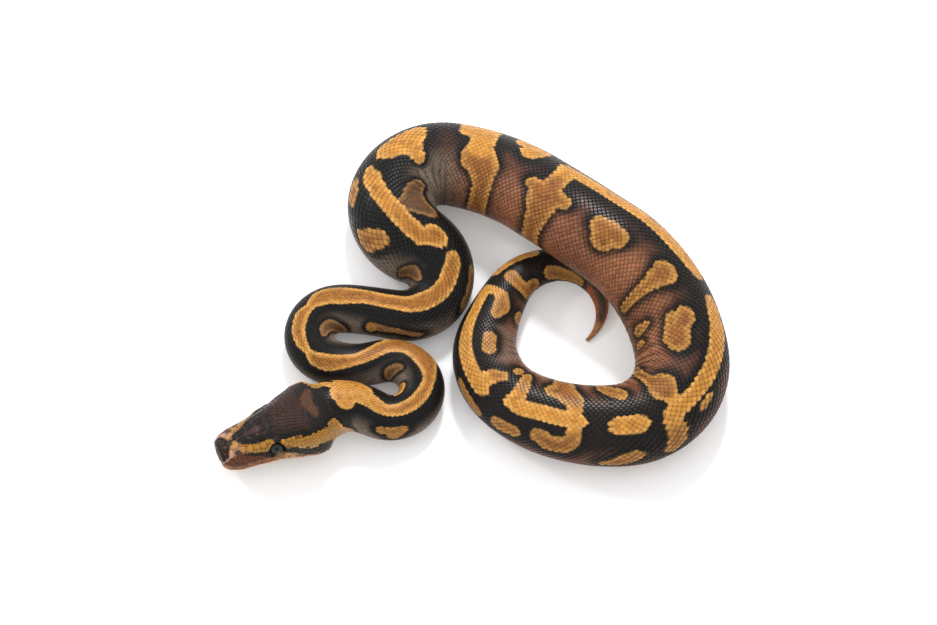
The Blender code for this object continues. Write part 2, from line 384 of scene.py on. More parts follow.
def head_ring(back):
    """One ring of the head's skin, and how far round its corners lie."""
    way, side, up = head_section(max(back, 0.35), SKIN_RING)
    nose = math.sqrt(max(1 - ((NOSE_ROUND - min(back, NOSE_ROUND)) / 0.79) ** 2, 0.0004))
    middle = (up.max() + up.min()) / 2
    out = np.stack((np.roll(up, -1) - np.roll(up, 1), np.roll(side, 1) - np.roll(side, -1)), axis=-1)
    out *= -1 / np.linalg.norm(out, axis=1, keepdims=True)
    join = smooth(HEAD_LENGTH - NAPE_JOIN, HEAD_LENGTH, back)
    rise = head_relief(back, way, side, up) * nose
    rise = rise - HEAD_DEPTH - (SKIN_DEPTH - HEAD_DEPTH) * join
    side, up = side + out[:, 0] * rise, up + out[:, 1] * rise
    head = head_point(back, side * nose, middle + (up - middle) * nose)
    nape = body_point(0.0, -way / np.abs(way).max() * girth(0.0) / 2, -SKIN_DEPTH)
    nape[:, 0] += (back - HEAD_LENGTH) * math.cos(START_HEADING)
    nape[:, 1] += (back - HEAD_LENGTH) * math.sin(START_HEADING)
    return head * (1 - join) + nape * join, -way


def skin_rings():
    """The skin's rings from snout to tail: points, places behind the nape and ways round."""
    backs = np.concatenate((NOSE_RINGS, np.arange(0.7, HEAD_LENGTH - 0.1, HEAD_STEP)))
    alongs = np.append(np.arange(0.3, LENGTH - 0.6, SKIN_STEP), LENGTH - 0.4)
    rings = [head_ring(back) for back in backs]
    for along in alongs:
        way = -np.linspace(-0.5, 0.5, SKIN_RING + 1)[:-1] * girth(along)
        rings.append((body_point(along, way, -SKIN_DEPTH - FOLD_DEPTH * folds(along, way)), way))
    points, ways = (np.array(column) for column in zip(*rings))
    places = np.concatenate((backs - HEAD_LENGTH, alongs))
    return points, np.repeat(places[:, None], SKIN_RING, axis=1), ways


# ---- markings ----------------------------------------------------------------------
# Each marking is a row of round spots (along, way, radius) joined into one shape.

GOLD_MARKS = (
    ((4.0, 1.0, 3.0), (7.4, 2.9, 2.9), (5.0, 5.2, 2.6), (3.6, 7.0, 1.3)), ((4.5, -0.6, 2.8),),
    ((-1.0, 7.6, 1.0), (2.0, 4.6, 1.0), (4.0, 3.0, 2.0)),
    ((7, 1.4, 2.4), (11, 0.8, 2.1), (15, -0.3, 1.6), (20, -0.2, 1.9), (25, -0.8, 1.9),
     (29, -1.9, 1.6), (34, -3.4, 3.2), (38, -3.7, 2.9), (42, -2.4, 2.4), (45, -1.1, 2.1),
     (48, 0, 1.8), (50, 0.6, 1.6), (54, 1.6, 2.0), (57, 2.6, 2.3), (59, 3.0, 1.9)),
    ((34.5, -5.5, 2.4), (40.5, -5.5, 2.2)),
    ((59, 3.0, 1.8), (61, 2.6, 0.8), (63, 2.7, 1.5), (66, 2.8, 2.0), (69, 2.5, 2.1),
     (71.8, 1.7, 1.3), (75, 2.1, 2.7), (79, 1.4, 2.9), (85, 1.5, 2.3), (90, 1.1, 2.2),
     (94, 0.9, 2.2), (100, 0, 2.7), (105, -1.5, 2.4),
     (110, -2.8, 2.3), (112, -3.8, 2)),
    ((118, -2, 3), (120, 1, 2.4), (124, 0.5, 2.6), (129, 0.3, 2.5), (134, 2.2, 2.3),
     (138, 5, 2.2), (139.5, 7, 1.8)),
    ((145.8, 6.7, 2.7), (151, 6.8, 2.6)), ((146.5, 5, 3.2), (150.3, 5, 3), (149.2, 1.5, 2.6)),
    ((162, 9.5, 2.5), (166.5, 9.5, 2.6)), ((162.3, 7, 2.6), (166, 6.5, 3.1), (166.3, 3, 3.2)),
    ((175.6, 9.7, 2.7), (179.2, 9.4, 2.7), (178, 6.2, 2.7)),
    ((188.5, 7.6, 2.7), (190, 8.0, 2.4), (200, 8.5, 2.4), (210, 8.9, 2.5), (217, 9.8, 2.7),
     (220, 10.3, 3.2), (225.5, 11.2, 3.3), (227, 11.5, 3.0)),
    ((236, 11.3, 2.6), (240, 11, 3.1), (246, 8.6, 2.4), (252, 6.8, 2.2), (257, 5.7, 2.1),
     (261, 5.6, 2.3)),
    ((268.3, 4.3, 2.4), (272.5, 4, 2.3)),
    ((281.3, 3.2, 1.7), (285, 3, 2), (290, 3, 2.1), (296, 3.6, 2.1), (298, 3.4, 1.9)),
    ((305.5, 5.6, 2.2), (315, 5.6, 2.1), (325, 4.9, 1.7), (331.4, 5, 1.8), (331.8, 2.5, 1.3)),
    ((338, 5.6, 1.9), (343, 4.6, 2.2), (346, 3.6, 1.7)),
    ((-1.5, -8.0, 3.0), (0.6, -8.8, 1.6)),
    ((19, 5.9, 1.0), (23, 6.9, 2.2), (28, 6.6, 2.0)),
)
TAN_MARKS = (
    ((14.7, -6.0, 1.1), (17.6, -6.0, 1.2), (16.2, -8.0, 0.8)), ((88, -7.2, 1.5),),
    ((127, 8, 1.8), (129, 13, 2)), ((137, 12, 2.3),),
    ((149.3, 1, 2.3), (149.3, -1.8, 2)),
    ((166.5, 1.5, 3.4), (166.8, -1.5, 4.6), (170, -4.5, 4), (171.2, -8, 3.1), (171.8, -13, 3.2),
     (171.5, -18, 3.5)),
    ((189.2, 7, 2.8), (189.2, 3, 2.7), (189.3, 0.5, 2.8), (189.5, -3, 4.5)),
    ((184.2, -2.2, 1.6), (189.5, -3.2, 4.3), (194.8, -2.4, 1.9)),
    ((189.8, -4, 5), (190.8, -9, 3.2), (191.2, -14, 2.4), (191.3, -19, 2.8)),
    ((206.3, -2.2, 2.9), (211.6, -2.2, 3)), ((208.9, -4.2, 3.7), (208.9, -2.5, 3.6)),
    ((226.2, 1, 3.3), (226.8, -5, 1.9), (227, -10, 1.6), (227.1, -14, 1.5)),
    ((238.2, 1.2, 2.7), (240.5, -0.8, 2.7), (244.4, -1.8, 3.1)),
    ((237.6, -2.2, 1.6), (243.2, -3.2, 2.5)),
    ((236.3, -9, 0.9), (236.8, -12, 1.9)), ((241, -12, 1), (241.3, -13.5, 1.3)),
    ((259.3, 3, 1.6), (258.9, -1.8, 3.9), (259.9, -6, 2), (259.5, -10, 1.9), (256.5, -13.5, 2.3)),
    ((262, 7, 1.7), (262, 11, 1.9), (263, 14.3, 1.8)), ((254, 10.3, 0.9), (256, 10.3, 1)),
    ((269.8, 12.7, 1.7), (272.5, 14.5, 1.9), (275.5, 15.2, 1)),
    ((270.8, -5, 1.9), (273, -6.3, 2.2), (276, -8.3, 1.9), (277.2, -10.5, 1.3)),
    ((282.8, 1.5, 1.8), (283.5, -2, 2.4), (287, -5, 3.4), (288.3, -9, 3.2)),
    ((286, -4.5, 2.8), (290.2, -4.2, 2.2)),
    ((282.3, 5.5, 1.6), (282.5, 8, 1.9), (284, 10, 2.3), (287, 10.3, 2.3), (289.5, 9, 2)),
    ((297.5, 1.5, 2), (298, -2, 1.8), (299, -5, 1.5)),
    ((295, 10.5, 1.6), (298.3, 10.8, 1.9)), ((303.8, 12, 1.6), (308.5, 11, 1.5)),
    ((306, 3.5, 1.8), (305.5, 1, 1.8), (304, -0.5, 1.5)), ((302.5, -5, 1.6),),
    ((313.3, -0.8, 1.8), (317, -1.2, 1.8)), ((328, -8.5, 2.2),),
    ((325.3, -1.3, 1.7), (328, -1.8, 2.3), (331, -0.5, 1.7), (331.8, 1.5, 1.2)),
    ((337.7, 0.3, 1.9), (337, -3, 1.9), (337.5, -6.5, 2.6), (342, -6, 2)),
    ((349, -4, 2.2), (354, -4.2, 2), (360, -3.5, 1.3)), ((1.0, -9.6, 1.2), (7, -10.4, 1.3)),
)
BROWN_MARKS = (
    ((36.5, 3.3, 0.9), (38.5, 4.2, 1.6), (41.5, 6.0, 2.2)),
    ((107, 6.5, 1.6), (112, 8.5, 2.4), (118, 13, 2)),
    ((63, -4.0, 1.0), (66, -4.9, 1.9), (72, -6.8, 2.4), (79, -9.3, 2.2)),
    ((88, -6.8, 1.2), (95, -7.2, 0.7), (98, -9, 0.6)), ((107, -10.5, 2), (110, -10.5, 2)),
    ((123.5, -7.5, 2.5), (130, -5.5, 4), (137, -6.5, 2.6), (141.5, -7.5, 1.8)),
    ((130, -0.5, 1.9), (130, -4.5, 3.6)),
)
# The far flank, which no marking above reaches, is blotched at even steps.
FAR_STEP, FAR_FIRST, FAR_LAST = 11.5, 152.0, 342.0
FAR_MARKS = tuple(
    ((at, 20.5, 1.8), (at + 1.5, 24.5, 2.6 + 0.5 * math.sin(at)), (at - 0.5, 29.0, 2.0))
    for at in np.arange(FAR_FIRST, FAR_LAST, FAR_STEP))
SADDLES = (156.0, 250.5)        # where the maroon reaches over the back


def distance_to(marks, along, way):
    """Distance outside the nearest marking, negative inside it."""
    nearest = np.full(np.shape(along), 99.0)
    for mark in marks:
        pairs = zip(mark, mark[1:]) if len(mark) > 1 else ((mark[0], mark[0]),)
        for (a0, w0, r0), (a1, w1, r1) in pairs:
            span = max((a1 - a0) ** 2 + (w1 - w0) ** 2, 1e-9)
            share = np.clip(((along - a0) * (a1 - a0) + (way - w0) * (w1 - w0)) / span, 0, 1)
            gap = np.hypot(along - a0 - share * (a1 - a0), way - w0 - share * (w1 - w0))
            nearest = np.minimum(nearest, gap - r0 - share * (r1 - r0))
    return nearest


def ground(along, way, clear):
    """The colour between the markings: black over the back, warmer down the flanks."""
    off = np.abs(way - look_up(BACK_LINE, along))
    rear = smooth(148, 175, along)
    colour = mix(BLACK, REAR_BLACK, rear)
    # maroon flanks of the rear body, and two maroon saddles over its back
    wander = 0.5 * np.sin(along * 0.37) + 0.4 * np.sin(along * 0.83 + 1.3)
    low = smooth(9.0, 15.0, off)
    open_side = smooth(0.6, 4.2, clear + 0.3 * wander + 1.0 * low)
    saddle = np.maximum(*(smooth(5.0, 2.0, np.abs(along - middle)) for middle in SADDLES))
    warm = np.maximum(smooth(4.5, 11.0, off + wander), 0.8 * saddle) * open_side * rear
    warm *= smooth(362, 345, along)
    bright = low * (0.75 + 0.25 * np.sin(along * 0.23 + 2.0))
    colour = mix(colour, mix(MAROON, BRIGHT_MAROON, bright), 0.92 * warm)
    # grey of the tail, partly its own colour and partly painted light that lifts it out of the shade
    # it lies in, of a pale patch before it, and of the front flanks, partly their own colour and
    # partly a painted reflection of the white surroundings
    # painted light: the tail's grey is also made lighter to stand in for light where it lies in
    # shade
    colour = mix(colour, TAIL_GREY_AND_LIGHT, smooth(349, 356, along))
    pale = smooth(305, 309, along) * smooth(324, 320, along) * smooth(1.0, -4.0, way) * open_side
    colour = mix(colour, PALE_REAR, 0.8 * pale)
    # painted reflection: the grey on the front flanks partly stands in for the white surroundings
    # reflected by glossy scales at a grazing angle
    grey_and_sheen = smooth(0.11, 0.24, off / girth(along)) * smooth(0.2, 2.2, clear) * (1 - rear)
    return mix(colour, FLANK_GREY_AND_SHEEN, 0.9 * grey_and_sheen)


def body_markings(along, way):
    """The linear colour of the body at each place."""
    along, way = np.asarray(along, float), np.asarray(way, float)
    gold = distance_to(GOLD_MARKS, along, way)
    tan = distance_to(TAN_MARKS + FAR_MARKS, along, way)
    brown = distance_to(BROWN_MARKS, along, way)
    joined = np.minimum(gold, tan)
    clear = np.minimum(joined, brown)
    # black round the markings and all over the nape
    low = smooth(6.0, 11.0, np.abs(way - look_up(BACK_LINE, along))) * smooth(148, 175, along)
    dark = smooth(2.2, 0.0, clear) * (0.75 - 0.35 * low)
    dark = np.maximum(dark, 0.85 * smooth(9.0, 5.5, along))
    colour = mix(ground(along, way, clear), BLACK, dark)
    # the markings with their paler rims
    front = smooth(150, 110, along) * smooth(8, 20, along)
    gold_colour = mix(mix(GOLD, FRONT_GOLD, front), GOLD_RIM, smooth(-1.6, -0.3, joined))
    tan_colour = mix(TAN, TAN_RIM, smooth(-2.3, -0.4, joined))
    tan_colour = mix(tan_colour, gold_colour, smooth(2.5, 0.5, gold))
    brown_colour = mix(BROWN, BROWN_RIM, smooth(-1.6, -0.5, brown))
    for paint, distance in ((brown_colour, brown), (tan_colour, tan), (gold_colour, gold)):
        colour = mix(colour, paint, smooth(EDGE, -EDGE, distance))
    # rusty sides and end of the tail
    tail = smooth(346, 352, along) * smooth(1.0, 3.0, clear)
    colour = mix(colour, TAIL_RUST, tail * smooth(0.06, 0.15, np.abs(way) / girth(along)))
    colour = mix(colour, TAIL_END, smooth(373, 375.5, along))
    # throat and belly
    colour = mix(colour, THROAT, smooth(9.0, 3.0, along) * smooth(8.4, 10.0, np.abs(way)))
    off = np.abs(way - back_middle(along)) / girth(along)
    off = np.minimum(off, 1 - off)
    colour = mix(colour, mix(colour, BELLY_EDGE, 0.75), smooth(0.34, BACK_SHARE, off))
    shade = 1 - 0.55 * folds(along, way)[..., None]
    return shade * mix(colour, BELLY, smooth(BACK_SHARE, 0.42, off))


MASK = (                        # behind the snout, the dark crown's far and near edges
    (4.3, -0.3, 0.5), (5, -0.6, 1.2), (6, -1.1, 2.7), (8, -2.1, 3.9), (9, -3.0, 4.4),
    (10, -4.0, 4.8), (11, -5.5, 4.9), (12.5, -6.3, 5.1), (13.6, -6.8, 5.6), (14.3, -7.2, 7.1),
    (15.1, -7.4, 7.4), (16.5, -7.8, 7.2), (18.7, -8.4, 7.9), (21, -9.0, 8.6), (23.3, -9.4, 8.7),
    (24.7, -9.4, 8.1), (26.3, -8.8, 7.4), (27.6, -6.9, 7.1), (28.5, -5.3, 6.0), (31, -4.2, 5.0),
)
STRIPE = (                      # behind the snout, widths of the gold stripe and the dark below
    (5.2, 3.2, 0.3), (6.7, 2.4, 0.7), (8.3, 2.3, 1.0), (10, 2.3, 1.2), (11.3, 2.8, 1.9),
    (12.3, 2.3, 3.1), (13.5, 1.6, 3.7), (14.3, 0.3, 3.4), (15.1, 0.4, 3.0), (16.2, 2.1, 1.7),
    (17, 2.4, 1.6), (18.3, 2.6, 1.9), (19.2, 3.0, 2.3), (20, 3.3, 3.0), (23.3, 3.4, 3.4),
    (25, 3.4, 3.6), (26.7, 3.4, 3.2), (27.7, 4.0, 2.6), (28.5, 7.5, 0.8), (31, 8.2, 0.2),
)
CROWN_PATCH = (                 # a marking whose spots are (back, way, radius)
    ((26.7, -4.2, 0.8), (25.7, -2.2, 1.4), (25.2, -0.4, 1.5), (25.8, 1.8, 1.3), (26.0, 3.3, 0.8)),
)
TIP = ((0, 3.7), (2.3, 3.5), (3.3, 1.5), (4.3, 0.7), (4.8, 0.4))    # half width of the dark tip


def middle_way(back):
    """How far round the middle line of the snout lies."""
    return smooth(11.0, 6.0, back)


def crown_colour(back, way, off, wave):
    """The dark crown, redder in its middle, with one red and one brown patch."""
    middle = smooth(-0.9, -3.0, off) * smooth(14.0, 17.0, back) * smooth(24.5, 23.0, back)
    colour = mix(CROWN, CROWN_MIDDLE, middle * (0.65 + 0.35 * wave))
    red = smooth(2.2, 0.8, np.hypot(back - 10.7, (way - 1.0) * 1.6))
    colour = mix(colour, CROWN_RED, red * 0.8)
    colour = mix(colour, CROWN_EDGE, smooth(-1.4, -0.5, off))
    return mix(colour, CROWN_BROWN, smooth(0.4, -0.5, distance_to(CROWN_PATCH, back, way)))


def head_markings(back, way):
    """The linear colour of the head at each place; way is positive on the head's left."""
    back, way = np.asarray(back, float), np.asarray(way, float)
    far, near = look_up(MASK, back), look_up(MASK, back, 2)
    off = np.where(way > (far + near) / 2, way - near, far - way)
    over_lip = lip_way(back) - np.abs(way)
    wave = 0.5 + 0.5 * np.sin(back * 3.1 + way)
    # labials, from the lip up
    front = smooth(13.8, 12.4, back)
    rim = smooth(1.5, 0.5, over_lip + 0.25 * np.sin(back * 2.6))
    colour = mix(mix(LIP_REAR, LIP_FRONT, front), mix(LIP_RIM_REAR, LIP_RIM_FRONT, front), rim)
    # dark stripe below the gold, then the gold stripe itself
    below = off - look_up(STRIPE, back)
    dark = smooth(-0.2, 0.1, below) * smooth(0.2, -0.2, below - look_up(STRIPE, back, 2))
    dark_colour = mix(DARK_FRONT, DARK_CHEEK, smooth(15, 19, back))
    dark_colour = mix(dark_colour, DARK_REAR, smooth(24, 28, back) * 0.8)
    colour = mix(colour, dark_colour, dark * smooth(5.2, 6.4, back))
    gold_colour = mix(HEAD_GOLD, PALE_GOLD, smooth(0.8, 3.4, off))
    gold_colour = mix(gold_colour, DEEP_GOLD, 0.5 * wave * smooth(13.5, 12, back))
    colour = mix(colour, gold_colour, smooth(EDGE, -EDGE, below) * smooth(4.4, 5.4, back))
    # pale nose with its nostrils, whose openings are painted dark as shade in the hole, and a dark
    # patch on the tip of the snout
    beside = np.abs(way - middle_way(back))
    nose = smooth(6.0, 5.0, back) * smooth(4.3, 3.8, beside)
    colour = mix(colour, NOSE, nose)
    colour = mix(colour, NOSE_MIDDLE, nose * smooth(2.7, 2.0, beside))
    # painted shade: the dark slit stands in for the shade inside the nostril's opening
    slit = np.hypot((back - 4.7) / 0.75, (beside - NOSTRIL[1]) / 0.5)
    colour = mix(colour, NOSTRIL_SHADE, smooth(1.2, 0.85, slit))
    tip = smooth(EDGE, -EDGE, beside - look_up(TIP, back)) * smooth(4.9, 4.5, back)
    colour = mix(colour, TIP_DARK, tip)
    inside = smooth(0.12, -0.12, off) * smooth(4.3, 4.6, back)
    colour = mix(colour, crown_colour(back, way, off, wave), inside)
    # throat and lower jaw, whose lip is as pink as the upper one
    throat = smooth(-0.1 + 2.2 * smooth(26.0, 30.0, back), -0.5, over_lip)
    return mix(colour, mix(JAW_RIM, JAW, smooth(-0.8, -2.0, over_lip)), throat)


# ---- meshes ------------------------------------------------------------------------

def build(name, look, points, faces, uvs, colours):
    """A smooth piece in metres, from points in millimetres and arrays of faces.

    colours are given for each point, and uvs for each point or each corner of the faces.
    """
    mesh = bpy.data.meshes.new(name)
    points = np.asarray(points, float) - (*CENTRE, 0.0)
    sizes = np.concatenate([np.full(len(rows), rows.shape[1]) for rows in faces])
    corners = np.concatenate([rows.ravel() for rows in faces])
    mesh.vertices.add(len(points))
    mesh.vertices.foreach_set("co", (points * MM).astype(np.float32).ravel())
    mesh.loops.add(len(corners))
    mesh.loops.foreach_set("vertex_index", corners.astype(np.int32))
    mesh.polygons.add(len(sizes))
    starts = np.append(0, np.cumsum(sizes)[:-1])
    mesh.polygons.foreach_set("loop_start", starts.astype(np.int32))
    mesh.polygons.foreach_set("use_smooth", np.ones(len(sizes), bool))
    mesh.update(calc_edges=True)
    layer = mesh.uv_layers.new(name="OFBake")
    uvs = np.asarray(uvs)
    uvs = uvs if len(uvs) == len(corners) else uvs[corners]
    layer.data.foreach_set("uv", uvs.astype(np.float32).ravel())
    paint = mesh.color_attributes.new("marking", "FLOAT_COLOR", "POINT")
    rgba = np.ones((len(points), 4), np.float32)
    rgba[:, :3] = colours
    paint.data.foreach_set("color", rgba.ravel())
    mesh.materials.append(look)
    piece = bpy.data.objects.new(name, mesh)
    bpy.context.scene.collection.objects.link(piece)
    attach(piece, "root")
    return piece


def ring_faces(rows, ring):
    """Quads between rows of corners that each close into a ring."""
    here = np.arange(rows - 1)[:, None] * ring + np.arange(ring)
    beside = np.arange(rows - 1)[:, None] * ring + (np.arange(ring) + 1) % ring
    return np.stack((here, here + ring, beside + ring, beside), axis=-1).reshape(-1, 4)


def fan(middle, rim):
    """Triangles from one corner to a closed rim."""
    return np.stack((np.full(len(rim), middle), rim, np.roll(rim, -1)), axis=-1)


def skin_colours(places, ways):
    """The markings, darker between the scales, partly as the skin's own darker tone and partly as
    painted shade in the gaps, with paler seams on the dark crown.
    """
    colours = np.where((places < 0)[..., None],
                       head_markings(places + HEAD_LENGTH, -ways), body_markings(places, ways))
    bright = smooth(0.05, 0.20, colours.mean(axis=-1))
    # the skin's own darker tone together with painted shade between the scales, less where the
    # colour is light
    skin_tone_and_gap_shade = np.where(places < 0, 0.42 + 0.22 * bright, 0.32 + 0.26 * bright)[..., None]
    colours = colours * skin_tone_and_gap_shade
    pale_seams = smooth(0.06, 0.02, colours.mean(axis=-1)) * smooth(-14.0, -17.0, places)
    return mix(colours, CROWN_SEAM, 0.7 * pale_seams)


def skin_uvs(faces, places):
    """The skin unrolled into strips, each face whole on one; the cut runs under the chin."""
    span = (LENGTH + HEAD_LENGTH) / SKIN_STRIPS
    flat_place = np.append(places.ravel(), (places[0, 0], places[-1, 0])) + HEAD_LENGTH
    uvs = []
    for corners in faces:
        place = flat_place[corners]
        strip = np.floor(place.mean(axis=1, keepdims=True) / span).clip(0, SKIN_STRIPS - 1)
        column = np.where(corners < places.size, corners % SKIN_RING, -1).astype(float)
        last = column.max(axis=1, keepdims=True)
        column = np.where((last - column > SKIN_RING / 2) & (column >= 0),
                          column + SKIN_RING, column)
        column = np.where(column < 0, column.max(axis=1, keepdims=True) - 0.5, column)
        across = (place / span - strip) * 0.96 + 0.02
        upward = (strip + 0.04 + 0.92 * column / (SKIN_RING + 1)) / SKIN_STRIPS
        uvs.append(np.stack((across, upward), axis=-1).reshape(-1, 2))
    return np.concatenate(uvs)


def make_skin(look):
    """One skin over the whole body; returns the rings of its head, places and ways."""
    points, places, ways = skin_rings()
    colours = skin_colours(places, ways)
    snout, tip = points[0].mean(axis=0), points[-1].mean(axis=0)
    tip[:2] += 0.3 * np.array([math.cos(LINE_HEADING[-1]), math.sin(LINE_HEADING[-1])])
    vertices = np.concatenate((points.reshape(-1, 3), [snout, tip]))
    paint = np.concatenate((colours.reshape(-1, 3), [colours[0, 0], colours[-1, 0]]))
    count = places.size
    first = np.arange(SKIN_RING)
    tail_fan = fan(count + 1, first + count - SKIN_RING)[:, (0, 2, 1)]
    faces = (ring_faces(len(places), SKIN_RING), np.concatenate((fan(count, first), tail_fan)))
    skin = build("skin", look, vertices, faces, skin_uvs(faces, places), paint)
    flesh = [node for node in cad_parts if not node.startswith("eye_")]
    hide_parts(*flesh)
    head_rows = int((places[:, 0] < 0.5).sum())
    return points[:head_rows], places[:head_rows], ways[:head_rows]


def plate_faces(corners, rings, count):
    """Faces of count closed plates: a middle point, rings round it, and a flat underside."""
    first = np.arange(corners)
    top = fan(0, 1 + first)
    sides = ring_faces(rings, corners) + 1
    under = (1 + (rings - 1) * corners + first)[::-1][None, :]
    shift = (np.arange(count) * (1 + rings * corners))[:, None, None]
    return [(part[None] + shift).reshape(-1, part.shape[1]) for part in (top, sides, under)]


# ---- scales of the body ------------------------------------------------------------

def scale_outline():
    """A rounded rhombus, as long as the pitch and as wide as a column, from its own middle."""
    angle = 2 * math.pi * (np.arange(SCALE_CORNERS) + 0.5) / SCALE_CORNERS
    fore, across = np.cos(angle), np.sin(angle)
    reach = (np.abs(fore) ** SCALE_SHARP + np.abs(across) ** SCALE_SHARP) ** (-1 / SCALE_SHARP)
    return reach * fore, reach * across


def rows_along():
    """Distances at which the rows of scales stand, closer together on the neck and tail."""
    rows = [0.35]
    while rows[-1] < LENGTH - 0.8:
        rows.append(rows[-1] + float(look_up(SCALE_PITCH, rows[-1])))
    return np.array(rows)


ROWS = rows_along()


def scale_colours(row, column, along, way, ahead, beside):
    """Colours of each scale's corners, with painted shade on its rim and walls, and a darker scale
    here and there.
    """
    inner = slice(0, SCALE_CORNERS + 1)
    colours = body_markings(along[:, None] + 0.6 * ahead[:, inner],
                            way[:, None] + 0.6 * beside[:, inner])
    light = 0.88 + 0.26 * scatter(row * 1.7, column * 2.3)
    bright = smooth(0.05, 0.20, colours[:, 0].mean(axis=1))
    dots = (scatter(row * 3.1, column * 0.7) > 0.86) & (bright > 0.2)
    colours = colours * np.where(dots, light * 0.76, light)[:, None, None]
    # painted shade: the rim and walls of each scale are darkened as shade between the scales, less
    # where the colour is light
    rim = colours[:, 1:] * (0.80 + 0.10 * bright)[:, None, None]
    wall = colours[:, 1:] * (0.45 + 0.20 * bright)[:, None, None]
    return np.concatenate((colours, rim, wall), axis=1).reshape(-1, 3)


def make_scales(name, begin, end, columns, look):
    """Scales over the back and flanks of one length of the body."""
    rows = np.flatnonzero((ROWS >= begin) & (ROWS < end))
    row, column = np.repeat(rows, columns), np.tile(np.arange(columns), len(rows))
    pitch = look_up(SCALE_PITCH, ROWS[row])
    along = ROWS[row] + 0.5 * pitch * (column % 2)
    along += 0.06 * (scatter(row, column) - 0.5)
    width = 2 * BACK_SHARE * girth(along) / columns
    way = back_middle(along) + (column - (columns - 1) / 2) * width
    way += 0.06 * width * (scatter(column, row) - 0.5)
    # each scale keeps its length where a bend draws the skin out or pushes it together
    pull = stretch(along, way)
    length = np.clip(pitch * pull, 0.62 * pitch, 1.14 * pitch) / pull
    loose = smooth(5.0, 11.0, np.abs(way - back_middle(along))) * smooth(145, 165, along)
    half_long = 0.56 * (length * (1 - 0.12 * loose))[:, None]
    half_wide = 0.80 * (width * (1 - 0.14 * loose))[:, None]
    reach, height = (np.repeat(values, SCALE_CORNERS) for values in zip(*SCALE_RINGS))
    fore, across = (np.tile(values, len(SCALE_RINGS)) for values in scale_outline())
    ahead = half_long * np.append(0.0, reach) * np.append(0.0, fore)
    beside = half_wide * np.append(0.0, reach) * np.append(0.0, across)
    small = smooth(0.5, 3.5, profile(HALF_WIDTH, along))[:, None]
    rise = SCALE_RISE * (0.45 + 0.55 * small) * np.append(SCALE_TOP, height)
    rise = rise + SCALE_TILT * small * np.maximum(ahead / half_long, -0.4) - SKIN_DEPTH
    rise = rise - FOLD_DEPTH * folds(along, way)[:, None]
    places = np.minimum(along[:, None] + ahead, LENGTH - 0.2)
    points = body_point(places, way[:, None] + beside, rise).reshape(-1, 3)
    paint = scale_colours(row, column, along, way, ahead, beside)
    roots = np.stack(((along - begin) / (end - begin + 1.0) * 0.94 + 0.03,
                      0.5 + 0.46 * (column - (columns - 1) / 2) / (columns / 2)), axis=-1)
    patch = np.stack((ahead / half_long, beside / half_wide), axis=-1) * PATCH / 2
    uvs = (roots[:, None, :] + patch).reshape(-1, 2)
    faces = plate_faces(SCALE_CORNERS, len(SCALE_RINGS), len(row))
    build(name, look, points, faces, uvs, paint)


def make_belly(look):
    """Broad scutes under the body and tail, each one scale wide."""
    rows = np.flatnonzero(ROWS < LENGTH - 3.0)
    along = ROWS[rows][:, None, None]
    pitch = look_up(SCALE_PITCH, along)
    share = np.linspace(-1, 1, SCUTE_ACROSS)
    depth = np.linspace(-0.5, 0.62, len(SCUTE_HEIGHTS))[:, None]
    half = (0.5 - BACK_SHARE + 0.006) * girth(along)
    way = back_middle(along) + girth(along) / 2 + half * share
    place = np.minimum(along + pitch * depth - 0.22 * pitch * share ** 2, LENGTH - 0.3)
    top = SCALE_RISE * np.array(SCUTE_HEIGHTS)[:, None] * (1 - 0.55 * share ** 6)
    above = body_point(place, way, top + SCALE_TILT * (depth > 0) - SKIN_DEPTH)
    below = body_point(place, way, -SKIN_DEPTH - 0.08)
    points = np.stack((above, below), axis=1).reshape(-1, 3)
    grid = np.arange(len(SCUTE_HEIGHTS) * SCUTE_ACROSS).reshape(-1, SCUTE_ACROSS)
    quads = np.stack((grid[:-1, :-1], grid[1:, :-1], grid[1:, 1:], grid[:-1, 1:]), axis=-1)
    quads = quads.reshape(-1, 4)
    border = np.concatenate((grid[0], grid[1:, -1], grid[-1, -2::-1], grid[-2:0:-1, 0]))
    beyond = np.roll(border, -1)
    wall = np.stack((border, beyond, beyond + grid.size, border + grid.size), axis=-1)
    scute = np.concatenate((quads, quads[:, ::-1] + grid.size, wall))
    faces = (scute + (np.arange(len(rows)) * 2 * grid.size)[:, None, None]).reshape(-1, 4)
    tone = BELLY * (0.86 + 0.2 * scatter(rows * 1.3)[:, None, None])
    smudge = smooth(0.55, 1.0, np.abs(share)) * (0.35 + 0.4 * scatter(rows)[:, None])
    colour = mix(tone, BELLY_EDGE * 0.8, smudge)[:, None, None]
    paint = np.broadcast_to(colour, (len(rows), 2, *grid.shape, 3)).reshape(-1, 3)
    flat = np.stack(np.broadcast_arrays(
        along / LENGTH * 0.94 + 0.03 + PATCH * depth, 0.5 + 0.45 * share), axis=-1)
    uvs = np.stack((flat, flat), axis=1).reshape(-1, 2)
    build("belly_scutes", look, points, (faces,), uvs, paint)


# ---- scales of the head ------------------------------------------------------------
# The large shields of the snout and crown: behind the snout, round from the crown, reach.
SHIELDS = (
    (2.3, 0.95, 1.0), (4.6, 1.25, 1.25), (7.0, 1.7, 1.45), (9.4, 3.0, 1.0), (9.8, 0.95, 1.15),
    (12.4, 1.35, 1.4), (11.8, 4.0, 1.0), (14.0, 4.15, 1.15), (15.2, 2.0, 1.0), (15.0, 0.0, 0.75),
    (2.9, 3.0, 0.85), (6.3, 3.3, 0.8), (7.9, 4.5, 0.75), (9.4, 5.2, 0.7), (11.2, 5.9, 0.65),
)
NOSTRIL = (4.6, 3.6, 0.8, 0.75)  # the same, and how deep its middle dips
NOSE_TIP = (0.1, 7.3, 1.25)     # the plate on the nose: behind the snout, height, reach
UPPER_LABIALS = 12
LOWER_LABIALS = 14
PIT_DEPTH = 0.30                # of the heat pits in the foremost labials
